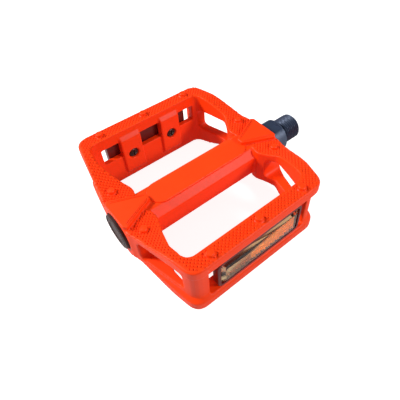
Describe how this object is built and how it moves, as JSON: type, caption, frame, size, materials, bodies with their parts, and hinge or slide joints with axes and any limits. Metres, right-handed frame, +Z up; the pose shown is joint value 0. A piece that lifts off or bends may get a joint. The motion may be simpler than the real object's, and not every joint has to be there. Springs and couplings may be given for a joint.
{
  "type": "flat bicycle pedal",
  "caption": "Flat bicycle pedal: moulded cage with grip pins and side reflectors, turning on a threaded spindle with cup-and-cone ball bearings.",
  "frame": {"origin": "on the spindle's axis, in the plane of the shoulder that seats on the crank arm", "axes": "+X along the spindle towards the crank arm, +Z up out of the upper tread, Y fore and aft"},
  "size_m": [0.116, 0.098, 0.0366],
  "materials": {
    "body_plastic": "moulded, fine diamond knurl on the treads",
    "axle_steel": "dark blue-grey oxide",
    "bearing_steel": "ground",
    "ball_steel": "polished",
    "seal_rubber": "matte",
    "cap_plastic": "satin moulded",
    "reflector_base": "moulded",
    "amber_lens": "polished, prisms behind",
    "screw_steel": "black oxide"
  },
  "bodies": {
    "axle": {"spindle": "axle_steel", "outboard_cone": "bearing_steel", "lock_washer": "bearing_steel", "lock_nut": "bearing_steel"},
    "cage": {"pedal_body": "body_plastic", "outboard_cup": "bearing_steel", "inboard_cup": "bearing_steel", "inner_dust_seal": "seal_rubber", "end_cap": "cap_plastic", "front_reflector_base": "reflector_base", "front_reflector_lens": "amber_lens", "rear_reflector_base": "reflector_base", "rear_reflector_lens": "amber_lens", "front_outer_screw": "screw_steel", "front_inner_screw": "screw_steel", "rear_outer_screw": "screw_steel", "rear_inner_screw": "screw_steel"},
    "outboard_row": {"outboard_ball_01": "ball_steel", "outboard_ball_02": "ball_steel", "outboard_ball_03": "ball_steel", "outboard_ball_04": "ball_steel", "outboard_ball_05": "ball_steel", "outboard_ball_06": "ball_steel", "outboard_ball_07": "ball_steel", "outboard_ball_08": "ball_steel", "outboard_ball_09": "ball_steel", "outboard_ball_10": "ball_steel", "outboard_ball_11": "ball_steel"},
    "inboard_row": {"inboard_ball_01": "ball_steel", "inboard_ball_02": "ball_steel", "inboard_ball_03": "ball_steel", "inboard_ball_04": "ball_steel", "inboard_ball_05": "ball_steel", "inboard_ball_06": "ball_steel", "inboard_ball_07": "ball_steel", "inboard_ball_08": "ball_steel", "inboard_ball_09": "ball_steel", "inboard_ball_10": "ball_steel", "inboard_ball_11": "ball_steel", "inboard_ball_12": "ball_steel"}
  },
  "joints": [
    {"name": "cage_spin", "type": "hinge", "parent": "axle", "child": "cage", "pos_m": [-0.0571, 0, 0], "axis": [1, 0, 0], "continuous": true},
    {"name": "outboard_row_roll", "type": "hinge", "parent": "axle", "child": "outboard_row", "pos_m": [-0.0886, 0, 0], "axis": [1, 0, 0], "continuous": true},
    {"name": "inboard_row_roll", "type": "hinge", "parent": "axle", "child": "inboard_row", "pos_m": [-0.0191, 0, 0], "axis": [1, 0, 0], "continuous": true}
  ],
  "couplings": [
    {"joint": "outboard_row_roll", "follows": "cage_spin", "ratio": 0.597},
    {"joint": "inboard_row_roll", "follows": "cage_spin", "ratio": 0.589}
  ]
}
